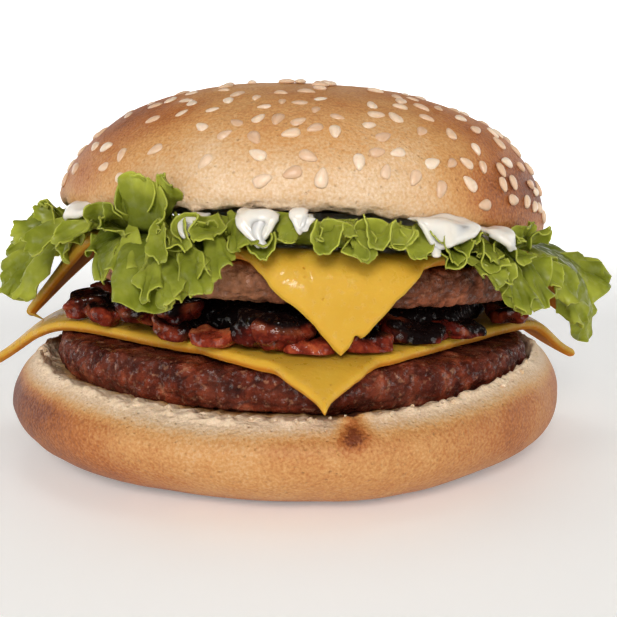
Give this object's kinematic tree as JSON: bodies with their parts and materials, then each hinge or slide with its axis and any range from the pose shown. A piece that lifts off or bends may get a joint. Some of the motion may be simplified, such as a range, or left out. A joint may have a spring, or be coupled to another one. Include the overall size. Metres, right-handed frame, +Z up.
{
  "type": "double cheeseburger",
  "caption": "Burger stacked from a seeded bun, beef patties, draped cheese slices, chopped bacon, curly lettuce and mayonnaise.",
  "frame": {"origin": "centre of the bottom bun's flat underside", "axes": "+Z up through the stack, -Y towards the front corners of the cheese, +X to the right seen from there"},
  "size_m": [0.1365, 0.1356, 0.0768],
  "materials": {
    "bun": "baked crust, matte with a soft sheen",
    "beef": "rough and moist",
    "cheese": "smooth satin",
    "bacon": "greasy gloss",
    "lettuce": "waxy leaf",
    "mayonnaise": "glossy cream"
  },
  "bodies": {
    "root": {"bottom_bun": "bun", "lower_patty": "beef", "lower_cheese": "cheese", "bacon": "bacon", "upper_patty": "beef", "upper_cheese": "cheese", "lettuce_left": "lettuce", "lettuce_front_left": "lettuce", "lettuce_front": "lettuce", "lettuce_front_right": "lettuce", "lettuce_right": "lettuce", "lettuce_back_right": "lettuce", "lettuce_back_left": "lettuce", "mayonnaise": "mayonnaise", "top_bun": "bun"}
  },
  "joints": []
}
